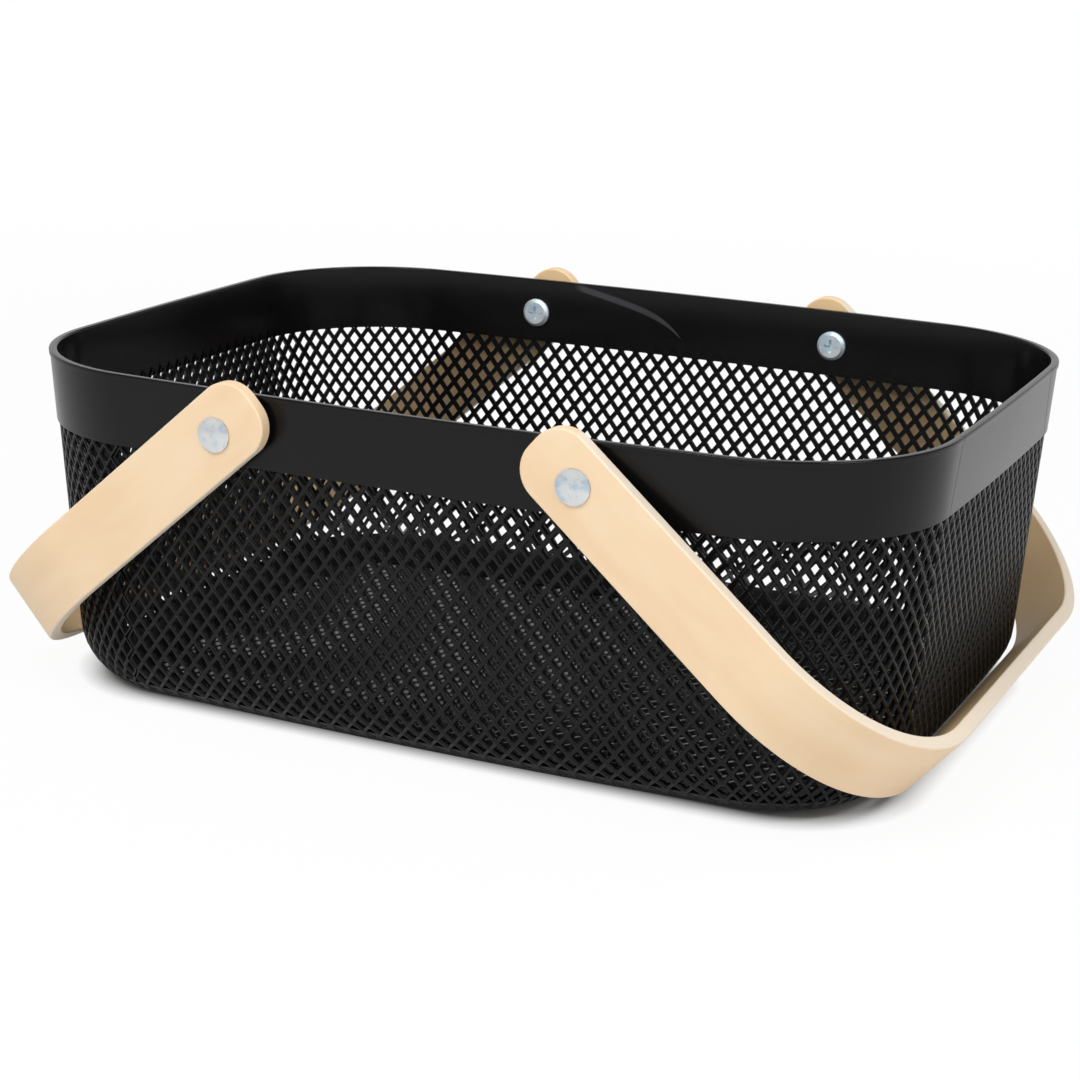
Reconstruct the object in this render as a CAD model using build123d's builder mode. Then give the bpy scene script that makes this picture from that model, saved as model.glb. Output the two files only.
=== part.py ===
from build123d import *
import math
import os

# Open basket moulded in one piece, with a plain rim band over mesh walls and two bentwood bail handles.
# Frame: millimetres, +Z up, +X along the length, +Y to the back, origin under the middle of the base.

# Basket moulding
rim_length = 380.0
rim_width = 280.0
basket_height = 140.0
corner_radius = 68.0
long_side_bulge = 8.7
short_side_bulge = 3.2
wall_draft_deg = 4.0
band_height = 29.0
band_step = 0.8
wall_thickness = 2.0
base_radius = 26.0
lip_height = 2.0
lip_overhang = 0.4
lip_rounding = 0.7

# Net of the walls and base, drawn 3.4 times as coarse as the moulded one, whose cells are 7.4 by 9.45
net_cell_width = 25.2
net_cell_height = 32.1
net_rib = 5.2
net_border = 2.0
net_foot = 8.0

# Handles
pivot_from_middle = 73.5
pivot_below_rim = 15.3
handle_width = 30.0
handle_thickness = 5.8
handle_touch_deg = 27.2
handle_tail = 21.5
handle_bend_radius = 63.0
handle_end_radius = 12.5
handle_edge_rounding = 0.8
handle_side_clearance = 0.4
handle_stop_clearance = 0.4
handle_meeting_clearance = 0.4

# Barrel nuts
barrel_diameter = 8.0
barrel_hole_clearance = 0.08
barrel_end_setback = 0.5
nut_head_diameter = 13.4
nut_head_edge = 0.6
nut_head_dome = 0.9
nut_head_clearance = 0.1

# Screws
screw_shank_diameter = 5.0
screw_thread_clearance = 0.1
screw_length = 8.0
screw_tip_clearance = 1.0
screw_head_diameter = 13.0
screw_head_edge = 1.2
screw_head_bevel = 1.4
screw_head_seat = 0.6
recess_span = 6.0
recess_slot = 1.3
recess_depth = 1.8
recess_taper_deg = 12.0

cut_overrun = 10.0

os.makedirs("parts", exist_ok=True)

# The rim is four shallow side arcs joined by four tangent corner arcs.
half_length = rim_length / 2
half_width = rim_width / 2
long_side_radius = half_length**2 / (2 * long_side_bulge) + long_side_bulge / 2
short_side_radius = half_width**2 / (2 * short_side_bulge) + short_side_bulge / 2
long_side_centre = Vector(0, half_width - long_side_radius)
short_side_centre = Vector(half_length - short_side_radius, 0)

# The corner centre lies where the two side arcs, drawn in by the corner radius, cross.
long_inner = long_side_radius - corner_radius
short_inner = short_side_radius - corner_radius
between = short_side_centre - long_side_centre
along = (long_inner**2 - short_inner**2 + between.length**2) / (2 * between.length)
across = math.sqrt(long_inner**2 - along**2)
unit = between.normalized()
corner_centre = long_side_centre + unit * along + Vector(unit.Y, -unit.X) * across
long_join = (corner_centre - long_side_centre).normalized()
short_join = (corner_centre - short_side_centre).normalized()
corner_middle = (long_join + short_join).normalized()

draft_slope = math.tan(math.radians(wall_draft_deg))


def outline(inset):
    """The rim's outline, moved inwards by inset, as a flat sketch."""
    long_point = long_side_centre + long_join * (long_side_radius - inset)
    short_point = short_side_centre + short_join * (short_side_radius - inset)
    corner_point = corner_centre + corner_middle * (corner_radius - inset)
    with BuildSketch() as loop:
        with BuildLine():
            for sx in (1, -1):
                for sy in (1, -1):
                    ThreePointArc(
                        (sx * long_point.X, sy * long_point.Y),
                        (sx * corner_point.X, sy * corner_point.Y),
                        (sx * short_point.X, sy * short_point.Y),
                    )
            for sign in (1, -1):
                ThreePointArc(
                    (-long_point.X, sign * long_point.Y),
                    (0, sign * (half_width - inset)),
                    (long_point.X, sign * long_point.Y),
                )
                ThreePointArc(
                    (sign * short_point.X, -short_point.Y),
                    (sign * (half_length - inset), 0),
                    (sign * short_point.X, short_point.Y),
                )
        make_face()
    return loop.sketch


def drafted_form(inset, top, bottom):
    """A solid between two heights, whose sides lean in towards the base by the draft."""
    with BuildPart() as form:
        for height in (top, bottom):
            with BuildSketch(Plane.XY.offset(height)):
                add(outline(inset + (basket_height - height) * draft_slope))
        loft(ruled=True)
    return form.part


def net_openings(half_run, low, high):
    """Diamonds in staggered rows, up to half_run each side of the middle and between two heights."""
    half_cell = net_cell_width / 2
    half_row = net_cell_height / 2
    open_share = 1 - net_rib / 2 * math.hypot(half_cell, half_row) / (half_cell * half_row)
    side_tip = half_cell * open_share
    end_tip = half_row * open_share
    last_row = math.floor((high - low - 2 * end_tip) / half_row)
    last_column = math.floor((half_run - side_tip) / half_cell)
    first_height = (low + high - last_row * half_row) / 2
    with BuildSketch() as openings:
        for row in range(last_row + 1):
            for column in range(-last_column, last_column + 1):
                if (row + column) % 2 == 0:
                    with Locations((column * half_cell, first_height + row * half_row)):
                        Polygon((side_tip, 0), (0, end_tip), (-side_tip, 0), (0, -end_tip))
    return openings.sketch


# Places that the pieces share
mesh_inset = lip_overhang + band_step
cavity_inset = mesh_inset + wall_thickness
base_inset = (
    mesh_inset
    + (basket_height - base_radius) * draft_slope
    + base_radius / math.cos(math.radians(wall_draft_deg))
)
long_net_run = (long_side_centre + long_join * (long_side_radius - mesh_inset)).X - net_border
short_net_run = (short_side_centre + short_join * (short_side_radius - mesh_inset)).Y - net_border
net_top = basket_height - band_height - net_border
base_net_length = half_length - base_inset - net_border
base_net_width = half_width - base_inset - net_border
pivot_height = basket_height - pivot_below_rim
arm_inner_face = half_width + handle_side_clearance
arm_outer_face = arm_inner_face + handle_thickness
rim_at_pivot = long_side_centre.Y + math.sqrt(long_side_radius**2 - pivot_from_middle**2)
band_inner_face = rim_at_pivot - cavity_inset - pivot_below_rim * draft_slope
barrel_radius = barrel_diameter / 2
barrel_hole_radius = barrel_radius + barrel_hole_clearance
sides = {"left": -1, "right": 1}
faces = {"front": -1, "back": 1}

# The hollow inside the walls, with its own rounded bottom edge.
with BuildPart() as cavity:
    add(drafted_form(cavity_inset, basket_height, wall_thickness))
    fillet(cavity.faces().sort_by(Axis.Z)[0].edges(), radius=base_radius - wall_thickness)

# Basket body: walls and base with a rounded bottom edge, and the thicker rim band with its lip round the top.
# The long walls, the end walls and the base are opened into a net of crossing ribs, and the corners stay closed.
with BuildPart() as basket_body:
    add(drafted_form(mesh_inset, basket_height, 0))
    fillet(basket_body.faces().sort_by(Axis.Z)[0].edges(), radius=base_radius)
    add(drafted_form(lip_overhang, basket_height, basket_height - band_height))
    add(drafted_form(0, basket_height, basket_height - lip_height))
    add(cavity.part, mode=Mode.SUBTRACT)
    fillet(basket_body.faces().sort_by(Axis.Z)[-1].edges(), radius=lip_rounding)
    with BuildSketch(Plane.XZ):
        with Locations((-pivot_from_middle, pivot_height), (pivot_from_middle, pivot_height)):
            Circle(barrel_hole_radius)
    extrude(amount=half_width + cut_overrun, both=True, mode=Mode.SUBTRACT)
    with BuildSketch(Plane.XZ):
        add(net_openings(long_net_run, net_foot, net_top))
    extrude(amount=half_width, both=True, mode=Mode.SUBTRACT)
    with BuildSketch(Plane.YZ):
        add(net_openings(short_net_run, net_foot, net_top))
    extrude(amount=half_length, both=True, mode=Mode.SUBTRACT)
    with BuildSketch(Plane.XY):
        add(net_openings(base_net_length, -base_net_width, base_net_width))
    extrude(amount=wall_thickness + cut_overrun, both=True, mode=Mode.SUBTRACT)
basket_body.part.label = "basket_body"
export_step(basket_body.part, "parts/basket_body.step")

# A handle hangs until the lower inner edge of its crossbar meets the rounded bottom edge of the end wall.
# Where it meets that rounding, and so how far the handle reaches, is set by the touch angle below level.
touch_angle = math.radians(handle_touch_deg)
rounding_centre = Vector(half_length - base_inset, base_radius)
touch_distance = base_radius + handle_stop_clearance
touch_point = rounding_centre + Vector(math.cos(touch_angle), -math.sin(touch_angle)) * touch_distance
to_touch = touch_point - Vector(pivot_from_middle, pivot_height)
inner_reach = math.sqrt(to_touch.length**2 - (handle_width / 2) ** 2)
outer_reach = inner_reach + handle_thickness
rest_drop = math.atan2(-to_touch.Y, to_touch.X) - math.atan2(handle_width / 2, inner_reach)

# Raised, the crossbars lean in over the basket until their upper edges nearly meet.
meeting_distance = math.hypot(outer_reach, handle_width / 2)
meeting_run = pivot_from_middle - handle_meeting_clearance / 2
meeting_lean = math.acos(meeting_run / meeting_distance) + math.atan2(handle_width / 2, outer_reach)
swing = rest_drop + math.pi - meeting_lean

# Handle: one strip bent to a U, its arms on the long sides and its crossbar past the end.
for side, sx in sides.items():
    pivot = Vector(sx * pivot_from_middle, 0, pivot_height)
    along_arm = Vector(sx * math.cos(rest_drop), 0, -math.sin(rest_drop))
    across_arm = Vector(sx * math.sin(rest_drop), 0, math.cos(rest_drop))
    with BuildPart() as handle:
        with BuildSketch(Plane(origin=pivot, x_dir=along_arm, z_dir=across_arm)):
            with BuildLine():
                FilletPolyline(
                    (-handle_tail, arm_outer_face),
                    (outer_reach, arm_outer_face),
                    (outer_reach, -arm_outer_face),
                    (-handle_tail, -arm_outer_face),
                    radius=handle_bend_radius + handle_thickness,
                )
                Line((-handle_tail, -arm_outer_face), (-handle_tail, -arm_inner_face))
                FilletPolyline(
                    (-handle_tail, -arm_inner_face),
                    (inner_reach, -arm_inner_face),
                    (inner_reach, arm_inner_face),
                    (-handle_tail, arm_inner_face),
                    radius=handle_bend_radius,
                )
                Line((-handle_tail, arm_inner_face), (-handle_tail, arm_outer_face))
            make_face()
        extrude(amount=handle_width / 2, both=True)
        fillet(handle.edges().filter_by(Axis.Y).group_by(Axis(pivot, along_arm))[0], radius=handle_end_radius)
        fillet(handle.edges(), radius=handle_edge_rounding)
        with BuildSketch(Plane.XZ):
            with Locations((pivot.X, pivot.Z)):
                Circle(barrel_hole_radius)
        extrude(amount=arm_outer_face + cut_overrun, both=True, mode=Mode.SUBTRACT)
    handle.part.label = side + "_handle"
    export_step(handle.part, "parts/" + handle.part.label + ".step")

# Places along a pivot's axis, measured outwards from the basket's middle plane
nut_seat = arm_outer_face + nut_head_clearance
nut_rim = nut_seat + nut_head_edge
nut_end = band_inner_face + barrel_end_setback
bore_end = nut_end + screw_length + screw_tip_clearance
screw_seat = band_inner_face - screw_head_seat
screw_rim = screw_seat - screw_head_edge
screw_face = screw_rim - screw_head_bevel

nut_head_radius = nut_head_diameter / 2
nut_dome_radius = (nut_head_radius**2 + nut_head_dome**2) / (2 * nut_head_dome)
shank_radius = screw_shank_diameter / 2
bore_radius = shank_radius + screw_thread_clearance
screw_head_radius = screw_head_diameter / 2
screw_face_radius = screw_head_radius - screw_head_bevel

for side, sx in sides.items():
    for face, sy in faces.items():
        pivot = Vector(sx * pivot_from_middle, 0, pivot_height)
        outwards = Vector(0, sy, 0)
        place = side + "_" + face
        profile_plane = Plane(origin=pivot, x_dir=outwards, z_dir=(1, 0, 0))
        face_plane = Plane(origin=pivot + outwards * screw_face, x_dir=(1, 0, 0), z_dir=outwards)

        # Barrel nut: a smooth low dome outside the arm, and a hollow barrel through the arm and the band.
        with BuildPart() as barrel_nut:
            with BuildSketch(profile_plane):
                with BuildLine():
                    Polyline(
                        (nut_rim + nut_head_dome, 0),
                        (bore_end, 0),
                        (bore_end, bore_radius),
                        (nut_end, bore_radius),
                        (nut_end, barrel_radius),
                        (nut_seat, barrel_radius),
                        (nut_seat, nut_head_radius),
                        (nut_rim, nut_head_radius),
                    )
                    RadiusArc((nut_rim, nut_head_radius), (nut_rim + nut_head_dome, 0), nut_dome_radius)
                make_face()
            revolve(axis=Axis(pivot, outwards))
        barrel_nut.part.label = place + "_barrel_nut"
        export_step(barrel_nut.part, "parts/" + barrel_nut.part.label + ".step")

        # Screw: a bevelled head with a cross recess inside the band, and a shank into the barrel.
        with BuildPart() as screw:
            with BuildSketch(profile_plane):
                with BuildLine():
                    Polyline(
                        (screw_face, 0),
                        (screw_face, screw_face_radius),
                        (screw_rim, screw_head_radius),
                        (screw_seat, screw_head_radius),
                        (screw_seat, shank_radius),
                        (screw_seat + screw_length, shank_radius),
                        (screw_seat + screw_length, 0),
                        (screw_face, 0),
                    )
                make_face()
            revolve(axis=Axis(pivot, outwards))
            with BuildSketch(face_plane):
                Rectangle(recess_span, recess_slot)
                Rectangle(recess_slot, recess_span)
            extrude(amount=recess_depth, taper=recess_taper_deg, mode=Mode.SUBTRACT)
        screw.part.label = place + "_screw"
        export_step(screw.part, "parts/" + screw.part.label + ".step")

print("handles rest", round(math.degrees(rest_drop), 3), "degrees below level")
print("handles swing", round(math.degrees(swing), 3), "degrees until the crossbars meet")
print("handles reach", round(inner_reach, 3), "from the pivot to the inside of the crossbar")
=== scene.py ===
import math

import bmesh
import bpy
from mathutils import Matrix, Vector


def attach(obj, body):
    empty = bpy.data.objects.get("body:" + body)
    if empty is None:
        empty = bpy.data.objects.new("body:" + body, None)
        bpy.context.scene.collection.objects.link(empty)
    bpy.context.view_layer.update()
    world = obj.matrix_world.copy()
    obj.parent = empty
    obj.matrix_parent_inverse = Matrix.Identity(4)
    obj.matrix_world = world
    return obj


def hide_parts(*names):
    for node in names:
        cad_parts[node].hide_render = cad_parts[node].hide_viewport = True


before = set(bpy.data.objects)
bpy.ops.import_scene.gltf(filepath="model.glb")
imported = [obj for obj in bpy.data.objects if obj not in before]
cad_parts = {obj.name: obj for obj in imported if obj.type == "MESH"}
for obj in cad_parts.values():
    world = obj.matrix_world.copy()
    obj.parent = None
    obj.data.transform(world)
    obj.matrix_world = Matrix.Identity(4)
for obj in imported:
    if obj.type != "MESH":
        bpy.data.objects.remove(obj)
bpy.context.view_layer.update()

# Basket form.
# The basket is one black moulding. Its rim is four shallow side arcs with tangent corner arcs between them,
# and everything below it follows that outline, drawn in by the draft and round the bottom edge.
mm = 0.001
rim_length, rim_width, basket_height = 380 * mm, 280 * mm, 140 * mm
corner_radius, long_bulge, short_bulge = 68 * mm, 8.7 * mm, 3.2 * mm
draft = math.tan(math.radians(4))

half_length, half_width = rim_length / 2, rim_width / 2
long_radius = half_length**2 / (2 * long_bulge) + long_bulge / 2
short_radius = half_width**2 / (2 * short_bulge) + short_bulge / 2
long_y, short_x = half_width - long_radius, half_length - short_radius
gap = math.hypot(short_x, long_y)
near = ((long_radius - corner_radius) ** 2 - (short_radius - corner_radius) ** 2 + gap**2) / (2 * gap)
off = math.sqrt((long_radius - corner_radius) ** 2 - near**2)
corner_x = short_x / gap * near - long_y / gap * off
corner_y = long_y - long_y / gap * near - short_x / gap * off
long_turn = math.atan2(corner_x, corner_y - long_y)
short_turn = math.atan2(corner_y, corner_x - short_x)
long_arc = long_radius * long_turn
corner_arc = corner_radius * (math.pi / 2 - long_turn - short_turn)
short_arc = short_radius * short_turn
quarter = long_arc + corner_arc + short_arc


def rim_point(length):
    """The rim at a length from the middle of its front side, going round by the right end."""
    turn, rest = divmod(length, 2 * quarter)
    mirrored = rest > quarter
    a = 2 * quarter - rest if mirrored else rest
    if a <= long_arc:
        angle = a / long_radius
        x, y = long_radius * math.sin(angle), long_y + long_radius * math.cos(angle)
    elif a <= long_arc + corner_arc:
        angle = long_turn + (a - long_arc) / corner_radius
        x, y = corner_x + corner_radius * math.sin(angle), corner_y + corner_radius * math.cos(angle)
    else:
        angle = (quarter - a) / short_radius
        x, y = short_x + short_radius * math.cos(angle), short_radius * math.sin(angle)
    x, y = (x, y if mirrored else -y)
    return (x, y, 0) if turn % 2 == 0 else (-x, -y, 0)


def placed(name, data):
    """Puts a new object that holds this data in the scene."""
    made = bpy.data.objects.new(name, data)
    bpy.context.scene.collection.objects.link(made)
    return made


def path(name, points, closed=False):
    """A curve through points, for the geometry trees to read. It is removed once they have run."""
    curve = bpy.data.curves.new(name, "CURVE")
    curve.dimensions = "3D"
    spline = curve.splines.new("POLY")
    spline.points.add(len(points) - 1)
    for point, place in zip(spline.points, points):
        point.co = (*place, 1)
    spline.use_cyclic_u = closed
    return placed(name, curve)


rim_steps = 1600
rim_path = path("rim_path", [rim_point(4 * quarter * i / rim_steps) for i in range(rim_steps)], True)

# Black plastic.
# The moulding is satin black polypropylene with a very fine grain and a little haze in the sheen. A pale
# crescent of lighter colour lies inside the back of its band, and a fine parting line shows near each corner of
# its ends.


class Flow:
    """One output of a node. Sums and products of flows and numbers add their own nodes to the tree."""

    def __init__(self, tree, socket):
        self.tree, self.socket = tree, socket

    def maths(self, operation, *others):
        values = {f"i{place}": value for place, value in enumerate((self, *others))}
        return node(self.tree, "ShaderNodeMath", {"operation": operation}, **values)

    def __add__(self, other):
        return self.maths("ADD", other)

    __radd__ = __add__

    def __mul__(self, other):
        return self.maths("MULTIPLY", other)

    __rmul__ = __mul__

    def __sub__(self, other):
        return self.maths("SUBTRACT", other)

    def __rsub__(self, other):
        return (self * -1) + other

    def __truediv__(self, other):
        return self.maths("DIVIDE", other)

    def __neg__(self):
        return self * -1

    def within(self, low, high):
        """Held between two values."""
        return self.maths("MAXIMUM", low).maths("MINIMUM", high)

    def rise(self, start, length):
        """0 up to a start, and from there up to 1 over a length."""
        return ((self - start) / length).within(0, 1)

    def part(self, name):
        """Another output of the same node."""
        return Flow(self.tree, self.socket.node.outputs[name])


def feed(made, **inputs):
    """Gives a node's inputs flows or values, by name with underscores for spaces, or by place as i0, i1."""
    for key, value in inputs.items():
        if key[0] == "i" and key[1:].isdigit():
            slot = made.inputs[int(key[1:])]
        else:
            slot = next(s for s in made.inputs if s.name.replace(" ", "_") == key and s.enabled)
        if isinstance(value, Flow):
            made.id_data.links.new(value.socket, slot)
        else:
            slot.default_value = value


def node(tree, kind, settings=(), **inputs):
    """Adds a node, sets its settings before its inputs, and returns its first output."""
    made = tree.nodes.new(kind)
    for key, value in dict(settings).items():
        if key == "stops":
            ramp = made.color_ramp
            for stop, (place, colour) in enumerate(value):
                element = ramp.elements[stop] if stop < 2 else ramp.elements.new(place)
                element.position, element.color = place, (*colour, 1)
        else:
            setattr(made, key, value)
    feed(made, **inputs)
    return Flow(tree, next(s for s in made.outputs if s.enabled))


def split(tree, vector):
    """The three parts of a vector."""
    parts = node(tree, "ShaderNodeSeparateXYZ", Vector=vector)
    return parts.part("X"), parts.part("Y"), parts.part("Z")


def blended(tree, amount, first, second):
    """Mixes two colours, each a flow or three numbers, by an amount."""
    first, second = ((*value, 1) if isinstance(value, tuple) else value for value in (first, second))
    return node(tree, "ShaderNodeMix", {"data_type": "RGBA"}, i0=amount, i6=first, i7=second)


def shaded(name):
    """A new material, with its tree and its shader."""
    made = bpy.data.materials.new(name)
    made.use_nodes = True
    return made, made.node_tree, made.node_tree.nodes["Principled BSDF"]


black, tree, shader = shaded("satin_black_moulding")
where = node(tree, "ShaderNodeTexCoord").part("Object")
x, y, z = split(tree, where)
haze = node(tree, "ShaderNodeTexNoise", Vector=where, Scale=14.0, Detail=3.0, Roughness=0.55)
grain = node(tree, "ShaderNodeTexNoise", Vector=where, Scale=2600.0, Detail=2.0)
blacks = [(0.3, (0.0032, 0.0031, 0.0034)), (0.7, (0.0048, 0.0046, 0.005))]
tone = node(tree, "ShaderNodeValToRGB", {"stops": blacks}, Fac=haze)
crisp_edge, soft_edge = 0.2 * mm, 1 * mm

# The pale crescent sinks slowly along the inside of the back, then hooks down and tapers to a tip.
crescent_reach, crescent_top, crescent_end = 55 * mm, 138.7 * mm, 0.5 * mm
crescent_sink, crescent_hook = 12 * mm, 7.4 * mm
crescent_width, crescent_tip = 1.7 * mm, 0.1 * mm
inside_from, inside_to = 130 * mm, 138 * mm
crescent_run = (x / crescent_reach + 1).within(0, 1)
crescent_line = crescent_top - crescent_run * crescent_sink - crescent_run.maths("POWER", 6) * crescent_hook
crescent_half = (1 - crescent_run.maths("POWER", 8)) * crescent_width + crescent_tip
pale_crescent = ((1 - (z - crescent_line).maths("ABSOLUTE") / crescent_half) * 2).within(0, 1)
pale_crescent = pale_crescent * (crescent_run * 12).within(0, 1) * ((crescent_end - x) / soft_edge).within(0, 1)
pale_crescent = pale_crescent * y.rise(inside_from, soft_edge) * ((inside_to - y) / crisp_edge).within(0, 1)

# The parting lines lean as they go down the band, and are cut in its outer face alone.
parting_along, parting_top, parting_bottom = 231.4 * mm, 139.4 * mm, 111 * mm
parting_half, parting_lean, parting_skin = 0.35 * mm, 4 / 27, 2 * mm
parting_out, parting_place = (abs(side) for side in rim_point(parting_along)[:2])
parting_side = y.maths("ABSOLUTE") - (parting_top - z) * parting_lean - parting_place
parting = (1 - parting_side.maths("ABSOLUTE") / parting_half).within(0, 1)
outward = x.maths("ABSOLUTE") + (basket_height - z) * draft
parting = parting * outward.rise(parting_out - parting_skin, crisp_edge) * z.rise(parting_bottom, crisp_edge)

bump = node(tree, "ShaderNodeBump", Strength=0.06, Distance=0.0001, Height=grain)
bump = node(tree, "ShaderNodeBump", Strength=0.9, Distance=0.0003, Height=-parting, Normal=bump)
feed(
    shader,
    Base_Color=blended(tree, pale_crescent, tone, (0.05, 0.05, 0.054)),
    Roughness=haze * 0.1 + parting * 0.3 + 0.17,
    Specular_IOR_Level=0.21,
    Normal=bump,
)

# Rim band.
# The top 29 mm of the moulding is a plain thicker band. Its lip overhangs a fraction of a millimetre,
# with a rounded top edge and a sharp shadow line under it.
band_height, lip_height, band_back = 29 * mm, 2.0 * mm, 3.3 * mm
band_inset, lip_round, step_round, edge_round = 0.4 * mm, 0.7 * mm, 0.15 * mm, 0.3 * mm
band_steps, same_place = 520, 0.01 * mm
lip_bottom, band_bottom = basket_height - lip_height, basket_height - band_height


def rounded(points, radii, steps=4):
    """A closed outline of (x, z) corners, each rounded by its own radius."""
    made = []
    for i, corner in enumerate(points):
        before, after, radius = points[i - 1], points[(i + 1) % len(points)], radii[i]
        if not radius:
            made.append(corner)
            continue
        ways = []
        for other in (before, after):
            length = math.dist(corner, other)
            ways.append(((other[0] - corner[0]) / length, (other[1] - corner[1]) / length))
        for step in range(steps + 1):
            f = step / steps
            near, far = (1 - f) ** 2 * radius, f**2 * radius
            made.append(tuple(corner[k] + ways[0][k] * near + ways[1][k] * far for k in (0, 1)))
    return [(x, 0, z) for x, z in made]


def drawn_in(inset, height):
    """How far a face with this inset at the top lies out from the rim at a height."""
    return -inset - (basket_height - height) * draft


band_section = rounded(
    [
        (-band_back, basket_height),
        (0, basket_height),
        (drawn_in(0, lip_bottom), lip_bottom),
        (drawn_in(band_inset, lip_bottom), lip_bottom),
        (drawn_in(band_inset, band_bottom), band_bottom),
        (drawn_in(band_back, band_bottom), band_bottom),
    ],
    [lip_round, lip_round, step_round, 0, edge_round, edge_round],
)


def tree_of(name, sizes):
    """A new geometry tree with named inputs, given as name: socket kind, and one geometry output."""
    tree = bpy.data.node_groups.new(name, "GeometryNodeTree")
    for label, kind in sizes.items():
        tree.interface.new_socket(label, in_out="INPUT", socket_type="NodeSocket" + kind)
    tree.interface.new_socket("Shape", in_out="OUTPUT", socket_type="NodeSocketGeometry")
    inlet = tree.nodes.new("NodeGroupInput")
    return tree, {label: Flow(tree, inlet.outputs[label]) for label in sizes}


def end_tree(tree, shape, material):
    """Realizes, gives the material and closes the tree."""
    real = node(tree, "GeometryNodeRealizeInstances", Geometry=shape)
    painted = node(tree, "GeometryNodeSetMaterial", Geometry=real, Material=material)
    feed(tree.nodes.new("NodeGroupOutput"), i0=painted)


def grown(name, tree, **sizes):
    """Runs a geometry tree with these inputs and keeps what it makes as a plain mesh."""
    made = placed(name, bpy.data.meshes.new(name + "_seed"))
    shaper = made.modifiers.new("shaper", "NODES")
    shaper.node_group = tree
    for item in tree.interface.items_tree:
        label = item.name.replace(" ", "_")
        if item.in_out == "INPUT" and label in sizes:
            shaper[item.identifier] = sizes[label]
    graph = bpy.context.evaluated_depsgraph_get()
    mesh = bpy.data.meshes.new_from_object(made.evaluated_get(graph), depsgraph=graph)
    made.modifiers.remove(shaper)
    made.data = mesh
    mesh.name = name
    return made


def shape_of(tree, source):
    """The geometry of an object that the tree is given."""
    info = node(tree, "GeometryNodeObjectInfo", {"transform_space": "ORIGINAL"}, Object=source)
    return info.part("Geometry")


def at_length(tree, curve, length):
    """The place on a given curve at a length, and the direction of the curve there."""
    settings = {"mode": "LENGTH", "use_all_curves": True}
    spot = node(tree, "GeometryNodeSampleCurve", settings, Curves=shape_of(tree, curve), Length=length)
    return spot.part("Position"), spot.part("Tangent")


def on_rim(tree, rim, length):
    """The place on the rim at a length, and the direction straight out from it."""
    place, along = at_length(tree, rim, length.maths("FLOORED_MODULO", 4 * quarter))
    out = node(tree, "ShaderNodeVectorMath", {"operation": "CROSS_PRODUCT"}, i0=along, i1=(0, 0, 1))
    return place, out


def moved_out(tree, place, out, reach, height):
    """A place on the rim, moved out by reach and up by height."""
    sideways = node(tree, "ShaderNodeVectorMath", {"operation": "SCALE"}, Vector=out, Scale=reach)
    up = node(tree, "ShaderNodeCombineXYZ", Z=height)
    flat = node(tree, "ShaderNodeVectorMath", {"operation": "ADD"}, i0=place, i1=sideways)
    return node(tree, "ShaderNodeVectorMath", {"operation": "ADD"}, i0=flat, i1=up)


sweep, given = tree_of(
    "moulding round the rim",
    {
        "Rim": "Object",
        "Section": "Object",
        "Section points": "Int",
        "Steps round": "Int",
        "Round length": "Float",
        "Material": "Material",
    },
)
sheet = node(
    sweep,
    "GeometryNodeMeshGrid",
    Size_X=1.0,
    Size_Y=1.0,
    Vertices_X=given["Steps round"] + 1,
    Vertices_Y=given["Section points"] + 1,
)
x, y, _ = split(sweep, node(sweep, "GeometryNodeInputPosition"))
place, out = on_rim(sweep, given["Rim"], (x + 0.5) * given["Round length"])
turn = ((y + 0.5) * given["Section points"]).maths("ROUND").maths("MODULO", given["Section points"])
corner = node(
    sweep,
    "GeometryNodeSampleIndex",
    {"data_type": "FLOAT_VECTOR", "domain": "POINT"},
    Geometry=shape_of(sweep, given["Section"]),
    Value=node(sweep, "GeometryNodeInputPosition"),
    Index=turn,
)
reach, _, height = split(sweep, corner)
swept = moved_out(sweep, place, out, reach, height)
swept = node(sweep, "GeometryNodeSetPosition", Geometry=sheet, Position=swept)
swept = node(sweep, "GeometryNodeMergeByDistance", Geometry=swept, Distance=same_place)
end_tree(sweep, swept, given["Material"])


def moulding(name, section, steps):
    """A closed section carried all the way round the rim."""
    outline = path(name + "_section", section, True)
    made = grown(
        name,
        sweep,
        Rim=rim_path,
        Section=outline,
        Section_points=len(section),
        Steps_round=steps,
        Round_length=4 * quarter,
        Material=black,
    )
    bpy.data.objects.remove(outline)
    return made


def finished(made, sharp_deg=35):
    """Outward normals, smooth faces and sharp edges past an angle."""
    work = bmesh.new()
    work.from_mesh(made.data)
    bmesh.ops.recalc_face_normals(work, faces=work.faces)
    work.to_mesh(made.data)
    work.free()
    made.data.shade_smooth()
    made.data.set_sharp_from_angle(angle=math.radians(sharp_deg))
    return made


band = finished(moulding("rim_band", band_section, band_steps))

# Diamond mesh walls.
# Below the band the wall is a moulded net of crossing ribs, eased outside and widest inside the wall. It has
# four flat-sided panels with a panel round each corner, and where two panels meet, the crossings are drawn
# out into short level bars.
base_radius, mesh_inset = 26 * mm, 1.2 * mm
front_seam, end_seam, seam_bar = 126.9 * mm, 220.7 * mm, 1.4 * mm
long_cells, corner_cells, end_cells = 34, 13, 22
net_rows, row_pitch, first_row = 23, 9.45 * mm, 0.7 * mm
cell_width = (2 * front_seam - seam_bar) / long_cells
rib_outside, rib_shoulder, rib_middle, rib_inside = 0.3 * mm, 1.15 * mm, 2.2 * mm, 1.9 * mm
shoulder_depth, middle_depth, cell_rounding = 0.15 * mm, 1.2 * mm, 0.35 * mm
long_wall, end_wall = 2.2 * mm, 2.7 * mm
rib_sharp_deg, same_rib = 50, 0.02 * mm

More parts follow.
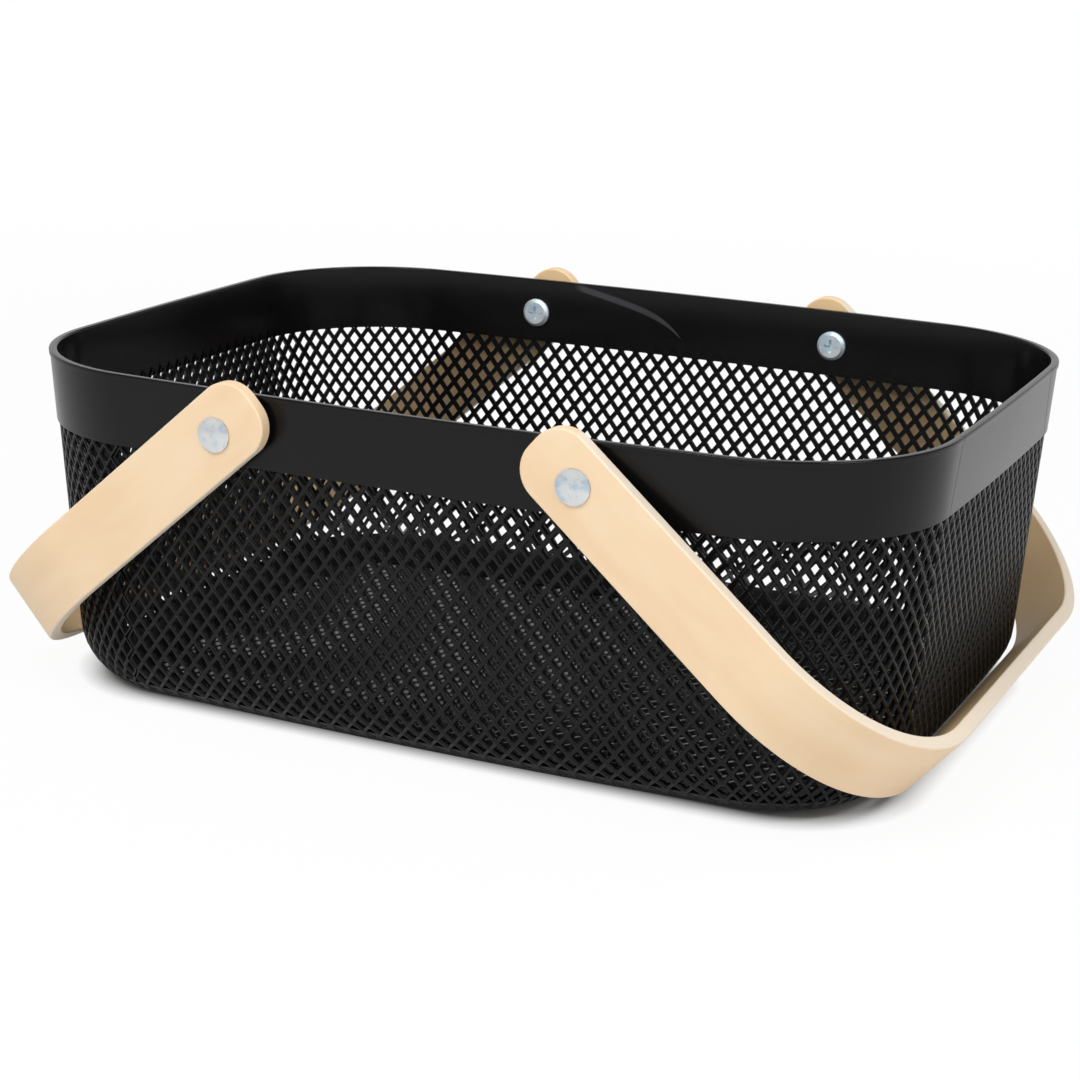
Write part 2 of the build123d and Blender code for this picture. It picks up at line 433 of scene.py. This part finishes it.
# The outer face from above the band's lower edge down the wall, round the bottom edge and in over the base.
face_lead, face_tail, round_steps = 6 * mm, 12 * mm, 60
lean = math.atan(draft)
round_out = -mesh_inset - (basket_height - base_radius) * draft - base_radius / math.cos(lean)
round_top = (band_bottom - base_radius * (1 - math.sin(lean))) / math.cos(lean)
round_end = round_top + base_radius * (math.pi / 2 - lean)


def face_point(down, depth=0):
    """A point on the outer face at a length below the band, or at a depth behind it."""
    turned = min(max(down - round_top, 0) / base_radius, math.pi / 2 - lean)
    angle = lean + turned
    left = down - round_top - turned * base_radius
    radius = base_radius - depth
    x = round_out + radius * math.cos(angle) - left * math.sin(angle)
    return (x, 0, base_radius - radius * math.sin(angle) - left * math.cos(angle))


face_path = path(
    "face_path",
    [face_point(-face_lead)]
    + [face_point(round_top + (round_end - round_top) * i / round_steps) for i in range(round_steps + 1)]
    + [face_point(round_end + face_tail)],
)


def diamond(rib, depth):
    """The corners of one rounded diamond opening at a depth, three points to each corner, going round."""
    a, b = cell_width / 2, row_pitch / 2
    shrink = 1 - rib / 2 * math.hypot(a, b) / (a * b)
    points = []
    for quadrant in range(4):
        tip, wide = (a, b) if quadrant % 2 == 0 else (b, a)
        half_angle = math.atan2(wide, tip)
        tip = tip * shrink
        back = cell_rounding / math.tan(half_angle)
        centre = tip - cell_rounding / math.sin(half_angle)
        across = back * math.sin(half_angle)
        along = tip - back * math.cos(half_angle)
        for x, y in ((along, -across), (centre + cell_rounding, 0), (along, across)):
            for _ in range(quadrant):
                x, y = -y, x
            points.append((x, y, depth))
    return points


def from_bmesh(name, work):
    """An object with the faces that were built up in a bmesh."""
    mesh = bpy.data.meshes.new(name)
    work.to_mesh(mesh)
    work.free()
    return placed(name, mesh)


def mesh_cell(name, thickness):
    """One cell of the net: a diamond opening and half the width of the ribs round it."""
    a, b = cell_width / 2, row_pitch / 2
    crossings = [(a, 0), (0, b), (-a, 0), (0, -b)]
    work = bmesh.new()
    top = [work.verts.new((x, y, 0)) for x, y in crossings]
    bottom = [work.verts.new((x, y, -thickness)) for x, y in crossings]
    section = (
        (rib_outside, 0),
        (rib_shoulder, -shoulder_depth),
        (rib_middle, -middle_depth),
        (rib_inside, -thickness),
    )
    rings = [[work.verts.new(point) for point in diamond(rib, depth)] for rib, depth in section]
    count = len(rings[0])
    for upper, lower in zip(rings, rings[1:]):
        for i in range(count):
            j = (i + 1) % count
            work.faces.new((upper[i], upper[j], lower[j], lower[i]))
    for ends, ring in ((top, rings[0]), (bottom, rings[-1])):
        for i in range(4):
            first, middle, last = ring[3 * i : 3 * i + 3]
            work.faces.new((ends[i], first, middle))
            work.faces.new((ends[i], middle, last))
            after = ring[(3 * i + 3) % count]
            work.faces.new((ends[i], last, after, ends[(i + 1) % 4]))
    return from_bmesh(name, work)


net, given = tree_of(
    "diamond net",
    {
        "Rim": "Object",
        "Face": "Object",
        "Cell": "Object",
        "First column": "Int",
        "Last column": "Int",
        "Rows": "Int",
        "Cell width": "Float",
        "Row pitch": "Float",
        "First row": "Float",
        "Stagger": "Int",
        "Bar": "Float",
        "Material": "Material",
    },
)
columns = ((given["Last column"] - given["First column"]) / 2).maths("FLOOR") + 1
number = node(net, "GeometryNodeInputIndex")
row = (number / columns).maths("FLOOR")
odd = (row + given["First column"] + given["Stagger"] + 1).maths("FLOORED_MODULO", 2)
column = given["First column"] + (number - row * columns) * 2 + odd
spots = node(
    net,
    "GeometryNodePoints",
    Count=columns * given["Rows"],
    Position=node(
        net,
        "ShaderNodeCombineXYZ",
        X=column * given["Cell width"] / 2,
        Y=-row * given["Row pitch"] / 2,
    ),
)
spare = node(
    net,
    "FunctionNodeCompare",
    {"data_type": "FLOAT", "operation": "GREATER_THAN"},
    A=column,
    B=given["Last column"] + 0.5,
)
spots = node(net, "GeometryNodeDeleteGeometry", {"domain": "POINT"}, Geometry=spots, Selection=spare)
flat = node(net, "GeometryNodeInstanceOnPoints", Points=spots, Instance=shape_of(net, given["Cell"]))
flat = node(net, "GeometryNodeRealizeInstances", Geometry=flat)
flat = node(net, "GeometryNodeMergeByDistance", Geometry=flat, Distance=same_rib)
x, y, z = split(net, node(net, "GeometryNodeInputPosition"))
across = x / given["Cell width"]

# Each panel has its own column width, and the seams at the front of the basket each add a bar.
half_run, long_run = (long_cells / 2, front_seam), (long_cells, 2 * front_seam)
corner_run, end_run = (corner_cells, end_seam - front_seam), (end_cells, 2 * (quarter - end_seam))
runs = [half_run, corner_run, end_run, corner_run, long_run, corner_run, end_run, corner_run, half_run]
bars = [0, 1, 1, 0, 0, 0, 0, 1, 1, 0]
bar_crispness = 12
length, start = 0, 0
for i, (run, span) in enumerate(runs):
    width = (span - (bars[i] + bars[i + 1]) / 2 * seam_bar) / run
    length = (across - start).within(0 if i else -long_cells, run) * width + length
    start += run
    if bars[i + 1]:
        length = ((across - start) * bar_crispness + 0.5).within(0, 1) * given["Bar"] + length
place, out = on_rim(net, given["Rim"], length)
fallen, facing = at_length(net, given["Face"], given["First row"] + face_lead - y)
face_x, _, face_z = split(net, fallen)
facing_x, _, facing_z = split(net, facing)
wrapped = moved_out(net, place, out, face_x - facing_z * z, face_z + facing_x * z)
wrapped = node(net, "GeometryNodeSetPosition", Geometry=flat, Position=wrapped)
end_tree(net, wrapped, given["Material"])

wall_cell = mesh_cell("wall_cell", long_wall)
end_cell = mesh_cell("end_cell", end_wall)
half_columns = 2 * int(sum(run for run, span in runs))
seams, start = [], 0
for run, span in runs[:-1]:
    start += int(2 * run)
    seams.append(start)
panels = {
    "front_mesh": (seams[7] - half_columns, seams[0]),
    "right_front_corner_mesh": (seams[0] + 1, seams[1] - 1),
    "right_end_mesh": (seams[1], seams[2]),
    "right_back_corner_mesh": (seams[2] + 1, seams[3] - 1),
    "back_mesh": (seams[3], seams[4]),
    "left_back_corner_mesh": (seams[4] + 1, seams[5] - 1),
    "left_end_mesh": (seams[5], seams[6]),
    "left_front_corner_mesh": (seams[6] + 1, seams[7] - 1),
}
walls = []
for name, (first, last) in panels.items():
    panel = grown(
        name,
        net,
        Rim=rim_path,
        Face=face_path,
        Cell=end_cell if "end" in name else wall_cell,
        First_column=first,
        Last_column=last,
        Rows=net_rows,
        Cell_width=cell_width,
        Row_pitch=row_pitch,
        First_row=first_row,
        Bar=seam_bar,
        Material=black,
    )
    walls.append(finished(panel, rib_sharp_deg))

for piece in (band, *walls):
    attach(piece, "basket")
    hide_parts("basket_body")

# Foot ring.
# The net ends on a plain ring that carries the moulding round its bottom edge. Its face lies a little behind
# the ribs, and a short upright foot runs down over it from each of the lowest crossings.
foot_top, foot_depth, foot_fade, foot_end = 104.4 * mm, 0.3 * mm, 109 * mm, 114 * mm
ring_back, ring_reach, ring_rows, ring_steps = 2.2 * mm, 5.5 * mm, 14, 400
ring_height = round_end - foot_top
ring_section = []
for i in range(ring_rows + 1):
    down = foot_top + ring_height * i / ring_rows
    fade = min(max((foot_end - down) / (foot_end - foot_fade), 0), 1)
    ring_section.append(face_point(down, foot_depth * fade * fade * (3 - 2 * fade)))
ring_section += [face_point(round_end + ring_reach), face_point(round_end + ring_reach, ring_back)]
ring_section += [face_point(round_end - ring_height * i / ring_rows, ring_back) for i in range(ring_rows + 1)]
foot_ring = finished(moulding("foot_ring", ring_section, ring_steps))

foot_width, foot_edge, foot_root = 1.1 * mm, 0.25 * mm, 1.2 * mm
foot_lead, foot_steps = 0.8 * mm, 4
foot_half, foot_length = foot_width / 2, foot_end - foot_top
foot_section = [
    (-foot_half, -foot_root),
    (-foot_half, -foot_edge),
    (foot_edge - foot_half, 0),
    (foot_half - foot_edge, 0),
    (foot_half, -foot_edge),
    (foot_half, -foot_root),
]
work = bmesh.new()
rows = [
    [work.verts.new((x, -foot_length * i / foot_steps, z)) for x, z in foot_section]
    for i in range(foot_steps + 1)
]
for upper, lower in zip(rows, rows[1:]):
    for i in range(len(foot_section)):
        work.faces.new((upper[i - 1], lower[i - 1], lower[i], upper[i]))
work.faces.new(rows[0])
work.faces.new(reversed(rows[-1]))
foot = from_bmesh("foot", work)
feet = finished(
    grown(
        "rib_feet",
        net,
        Rim=rim_path,
        Face=face_path,
        Cell=foot,
        First_column=seams[7] - half_columns,
        Last_column=seams[7] - 1,
        Rows=1,
        Cell_width=cell_width,
        Row_pitch=row_pitch,
        First_row=foot_top - foot_lead,
        Stagger=1,
        Bar=seam_bar,
        Material=black,
    )
)

# Net of the base.
# Inside the foot ring the moulding's base is the same net laid flat, a quarter of a millimetre above the
# underside. Its outer cells run on into the ring.
base_thickness, base_lift, base_overlap = 1.7 * mm, 0.25 * mm, 2.5 * mm
base_length, base_width = rim_length + 2 * round_out, rim_width + 2 * round_out
base_net, given = tree_of(
    "base net",
    {
        "Rim": "Object",
        "Cell": "Object",
        "Cell width": "Float",
        "Row pitch": "Float",
        "Columns": "Int",
        "Rows": "Int",
        "Edge": "Float",
        "Lift": "Float",
        "Material": "Material",
    },
)
number = node(base_net, "GeometryNodeInputIndex")
row = (number / given["Columns"]).maths("FLOOR")
column = (number - row * given["Columns"]) * 2 + row.maths("FLOORED_MODULO", 2)
spots = node(
    base_net,
    "GeometryNodePoints",
    Count=given["Columns"] * given["Rows"],
    Position=node(
        base_net,
        "ShaderNodeCombineXYZ",
        X=(column - given["Columns"]) * given["Cell width"] / 2,
        Y=(row - (given["Rows"] - 1) / 2) * given["Row pitch"] / 2,
    ),
)
rim = node(base_net, "GeometryNodeCurveToMesh", Curve=shape_of(base_net, given["Rim"]))
from_rim = node(base_net, "GeometryNodeProximity", {"target_element": "EDGES"}, Geometry=rim)
outside = node(
    base_net,
    "FunctionNodeCompare",
    {"data_type": "FLOAT", "operation": "LESS_THAN"},
    A=from_rim.part("Distance"),
    B=given["Edge"],
)
spots = node(base_net, "GeometryNodeDeleteGeometry", {"domain": "POINT"}, Geometry=spots, Selection=outside)
cell = shape_of(base_net, given["Cell"])
laid = node(base_net, "GeometryNodeInstanceOnPoints", Points=spots, Instance=cell)
laid = node(base_net, "GeometryNodeRealizeInstances", Geometry=laid)
laid = node(base_net, "GeometryNodeMergeByDistance", Geometry=laid, Distance=same_rib)
lifted = node(base_net, "ShaderNodeCombineXYZ", Z=given["Lift"])
laid = node(base_net, "GeometryNodeTransform", Geometry=laid, Translation=lifted)
end_tree(base_net, laid, given["Material"])

base_cell = mesh_cell("base_cell", base_thickness)
base_mesh = finished(
    grown(
        "base_mesh",
        base_net,
        Rim=rim_path,
        Cell=base_cell,
        Cell_width=cell_width,
        Row_pitch=row_pitch,
        Columns=math.ceil(base_length / cell_width),
        Rows=2 * math.ceil(base_width / row_pitch) + 1,
        Edge=-round_out + ring_reach - base_overlap,
        Lift=base_thickness + base_lift,
        Material=black,
    )
)
for piece in (foot_ring, feet, base_mesh):
    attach(piece, "basket")
    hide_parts("basket_body")
for spare_piece in (rim_path, face_path, wall_cell, end_cell, base_cell, foot):
    bpy.data.objects.remove(spare_piece)

# Wooden handles.
# Each handle is one strip of pale laminated wood, 30 mm wide, bent round at both corners of its crossbar and
# clear lacquered. The grain runs along the strip. The sanded edges show thin plies, paler than the face.
wood, tree, shader = shaded("lacquered_bentwood")
strip = node(tree, "ShaderNodeAttribute", {"attribute_name": "along_strip"}).part("Vector")
_, across, deep = split(tree, strip)


def stretched(*scales):
    """The place on the strip, scaled along its length, its width and its depth."""
    return node(tree, "ShaderNodeVectorMath", {"operation": "MULTIPLY"}, i0=strip, i1=scales)


inner_face, inner_edge = 5 * mm, 0.5 * mm
edge_place, edge_crispness, ply = 14.35 * mm, 1800, 1.45 * mm
woods = [(0.36, (0.84, 0.615, 0.39)), (0.5, (0.865, 0.65, 0.425)), (0.64, (0.875, 0.675, 0.455))]
# The last colour here tints the strip's inner face: partly a warmer wood, partly painted warm bounce light in
# its shade.
dark_streak, dark_fleck, inner_bounce_tint = (0.74, 0.52, 0.32), (0.70, 0.49, 0.30), (0.90, 0.62, 0.31)
pale_ply, dark_ply = (0.83, 0.72, 0.58), (0.70, 0.57, 0.43)
clouds = node(tree, "ShaderNodeTexNoise", Vector=stretched(18, 60, 60), Scale=1.0, Detail=2.0, Roughness=0.5)
streaks = node(tree, "ShaderNodeTexNoise", Vector=stretched(22, 900, 900), Scale=1.0, Detail=3.0, Roughness=0.6)
flecks = node(tree, "ShaderNodeTexNoise", Vector=stretched(160, 2600, 2600), Scale=1.0, Detail=1.0)
face_wood = node(tree, "ShaderNodeValToRGB", {"stops": woods}, Fac=clouds)
face_wood = blended(tree, (streaks - 0.5).within(0, 1) * 0.3, face_wood, dark_streak)
face_wood = blended(tree, (flecks - 0.62).within(0, 1) * 0.6, face_wood, dark_fleck)
# The inner face of the strip is painted more orange: partly a warmer wood, partly painted warm bounce light
# from the wood in its shade.
face_wood = blended(tree, deep.rise(inner_face, inner_edge) * 0.65, face_wood, inner_bounce_tint)
edge = ((across.maths("ABSOLUTE") - edge_place) * edge_crispness).within(0, 1)
plies = (deep * (2 * math.pi / ply)).maths("SINE") * 0.5 + 0.5
edge_wood = blended(tree, plies * 0.14 + streaks * 0.15, pale_ply, dark_ply)
feed(
    shader,
    Base_Color=blended(tree, edge, face_wood, edge_wood),
    Roughness=0.40 + streaks * 0.12 + edge * 0.16,
    Specular_IOR_Level=0.4,
    Normal=node(tree, "ShaderNodeBump", Strength=0.12, Distance=0.0001, Height=streaks + flecks * 0.3),
)

# A strip's own length, width and depth are laid flat from the pivot along the arm, the bend and the crossbar.
pivot_out, pivot_height = 73.5 * mm, basket_height - 15.3 * mm
strip_depth, strip_reach, strip_half, outer_bend = 5.8 * mm, 157.51 * mm, 146.2 * mm, 68.8 * mm
rest_drop = math.radians(40.954)
same_corner, strip_sharp_deg = 0.005 * mm, 40
middle_bend = outer_bend - strip_depth / 2
bend_start, bar_half = strip_reach - outer_bend, strip_half - outer_bend
half_strip = bend_start + middle_bend * math.pi / 2 + bar_half
for side, body in ((-1, "left_bail"), (1, "right_bail")):
    name = body.replace("bail", "handle")
    made = placed(name + "_strip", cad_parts[name].data.copy())
    work = bmesh.new()
    work.from_mesh(made.data)
    bmesh.ops.remove_doubles(work, verts=work.verts, dist=same_corner)
    layer = work.verts.layers.float_vector.new("along_strip")
    for vert in work.verts:
        out, down = side * vert.co.x - pivot_out, pivot_height - vert.co.z
        arm = out * math.cos(rest_drop) + down * math.sin(rest_drop)
        width = down * math.cos(rest_drop) - out * math.sin(rest_drop)
        past, beside = arm - bend_start, abs(vert.co.y) - bar_half
        if past > 0 and beside > 0:
            run = bend_start + middle_bend * math.atan2(past, beside)
            depth = outer_bend - math.hypot(past, beside)
        elif past > 0:
            run, depth = half_strip - abs(vert.co.y), strip_reach - arm
        else:
            run, depth = arm, strip_half - abs(vert.co.y)
        run = run - half_strip if vert.co.y < 0 else half_strip - run
        vert[layer] = (run + side, width, depth)
    work.to_mesh(made.data)
    work.free()
    made.data.shade_smooth()
    made.data.set_sharp_from_angle(angle=math.radians(strip_sharp_deg))
    made.data.materials.clear()
    made.data.materials.append(wood)
    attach(made, body)
    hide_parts(name)

# Barrel nuts and screws.
# The four pivots are bright zinc plated: a domed barrel nut outside and a cross recess screw inside the band.
# The plating is patchy, from pale grey to a light blue, with small dull spots.


def plated(name, tints, roughness):
    """Patchy zinc plating between three tints, from a roughness upwards."""
    zinc, tree, shader = shaded(name)
    where = node(tree, "ShaderNodeTexCoord").part("Object")
    patches = node(tree, "ShaderNodeTexNoise", Vector=where, Scale=170.0, Detail=2.0, Roughness=0.55)
    spots = node(tree, "ShaderNodeTexNoise", Vector=where, Scale=520.0, Detail=2.0)
    rolled = node(tree, "ShaderNodeTexNoise", Vector=where, Scale=1500.0, Detail=2.0)
    plate = node(tree, "ShaderNodeValToRGB", {"stops": list(zip((0.38, 0.46, 0.6), tints))}, Fac=patches)
    feed(
        shader,
        Base_Color=blended(tree, (spots - 0.6).within(0, 1) * 2.2, plate, (0.3, 0.32, 0.34)),
        Metallic=1.0,
        Roughness=patches * 0.12 + spots * 0.12 + roughness,
        Normal=node(tree, "ShaderNodeBump", Strength=0.15, Distance=0.0002, Height=spots + rolled * 0.2),
    )
    return zinc


nut_plate = plated("pale_zinc_plate", ((0.50, 0.60, 0.70), (0.66, 0.70, 0.72), (0.74, 0.74, 0.73)), 0.2)
screw_plate = plated("blue_zinc_plate", ((0.70, 0.85, 0.95), (0.82, 0.92, 0.97), (0.90, 0.95, 0.97)), 0.48)
for name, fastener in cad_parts.items():
    if name.endswith(("nut", "screw")):
        fastener.data.materials.clear()
        fastener.data.materials.append(nut_plate if name.endswith("nut") else screw_plate)

# Floor, light and camera.
# A plain white floor and backdrop, one big softbox above the front and a smaller one above the right end.
# The floor is shown white to the camera, except under the basket, where it keeps only the light it gets.
floor_half = 6
floor_mesh = bpy.data.meshes.new("floor")
floor_corners = [(x * floor_half, y * floor_half, 0) for x, y in ((-1, -1), (1, -1), (1, 1), (-1, 1))]
floor_mesh.from_pydata(floor_corners, [], [(0, 1, 2, 3)])
floor = placed("floor", floor_mesh)

shade_end, shade_side, shade_reach, shade_fade = 130 * mm, 65 * mm, 42 * mm, 14 * mm
mirror_back, mirror_back_fade, mirror_right, mirror_right_fade = 100 * mm, 200 * mm, 150 * mm, 150 * mm
far_off, far_fade, near_white = 442 * mm, 800 * mm, 0.94
pale, tree, shader = shaded("pale_floor")
feed(shader, Base_Color=(0.82, 0.82, 0.82, 1), Roughness=0.9, Specular_IOR_Level=0.0)
x, y, _ = split(tree, node(tree, "ShaderNodeTexCoord").part("Object"))
past_end = (x.maths("ABSOLUTE") - shade_end).maths("MAXIMUM", 0)
past_side = (y.maths("ABSOLUTE") - shade_side).maths("MAXIMUM", 0)
from_basket = (past_end * past_end + past_side * past_side).maths("SQRT")
mirrored = y.rise(mirror_back, mirror_back_fade) * x.rise(mirror_right, mirror_right_fade) * 0.9
shown = from_basket.rise(far_off, far_fade) * (1 - near_white) + near_white
ray = node(tree, "ShaderNodeLightPath")
seen = (ray.part("Is Camera Ray") + ray.part("Is Transmission Ray")) * shown
seen = seen + ray.part("Is Glossy Ray") * mirrored
mixed = node(
    tree,
    "ShaderNodeMixShader",
    Fac=seen.within(0, 1) * from_basket.rise(shade_reach, shade_fade),
    i1=Flow(tree, shader.outputs[0]),
    i2=node(tree, "ShaderNodeEmission", Color=(1, 1, 1, 1), Strength=1.0),
)
feed(tree.nodes["Material Output"], Surface=mixed)
floor_mesh.materials.append(pale)

studio_light, low_sky, sky_fade = 0.5, 0.22, 0.2
world = bpy.data.worlds.new("studio")
bpy.context.scene.world = world
world.use_nodes = True
tree = world.node_tree
ray = node(tree, "ShaderNodeLightPath")
_, _, way_up = split(tree, node(tree, "ShaderNodeTexCoord").part("Generated"))
mirrored = 1 - way_up.rise(low_sky, sky_fade) * 0.8
seen = (ray.part("Is Camera Ray") + ray.part("Is Transmission Ray")) * (1 - studio_light)
seen = seen + ray.part("Is Glossy Ray") * (mirrored - studio_light)
feed(tree.nodes["Background"], Color=(1, 1, 1, 1), Strength=seen + studio_light)


def softbox(name, place, target, size, power):
    """A square area light that faces a point."""
    lamp = bpy.data.lights.new(name, "AREA")
    lamp.size, lamp.energy = size, power
    made = placed(name, lamp)
    made.location = place
    way = Vector(target) - Vector(place)
    made.rotation_euler = way.to_track_quat("-Z", "Y").to_euler()
    return made


softbox("front_softbox", (-0.12, -0.98, 1.48), (0, 0, 0.05), 0.8, 16)
softbox("right_softbox", (1.1, -0.42, 1.18), (0, 0, 0.07), 0.48, 8)

yaw, pitch, roll = math.radians(24.96), math.radians(16.48), math.radians(1.39)
shift_x, shift_y, distance = 7.99 * mm, 79.52 * mm, 971.44 * mm
focal_pixels, picture_pixels, sensor_width = 2359.64, 1080, 36
back = Vector((math.sin(yaw) * math.cos(pitch), -math.cos(yaw) * math.cos(pitch), math.sin(pitch)))
right = Vector((math.cos(yaw), math.sin(yaw), 0))
up = back.cross(right)
right, up = right * math.cos(roll) + up * math.sin(roll), up * math.cos(roll) - right * math.sin(roll)
camera = placed("camera", bpy.data.cameras.new("camera"))
turned = Matrix((right, up, back)).transposed().to_4x4()
turned.translation = Vector((0, 0, basket_height)) + back * distance - right * shift_x - up * shift_y
camera.matrix_world = turned
camera.data.sensor_width = sensor_width
camera.data.lens = focal_pixels / picture_pixels * sensor_width
camera.data.clip_start, camera.data.clip_end = 0.05, 30
bpy.context.scene.camera = camera
bpy.context.scene.view_settings.view_transform = "Standard"
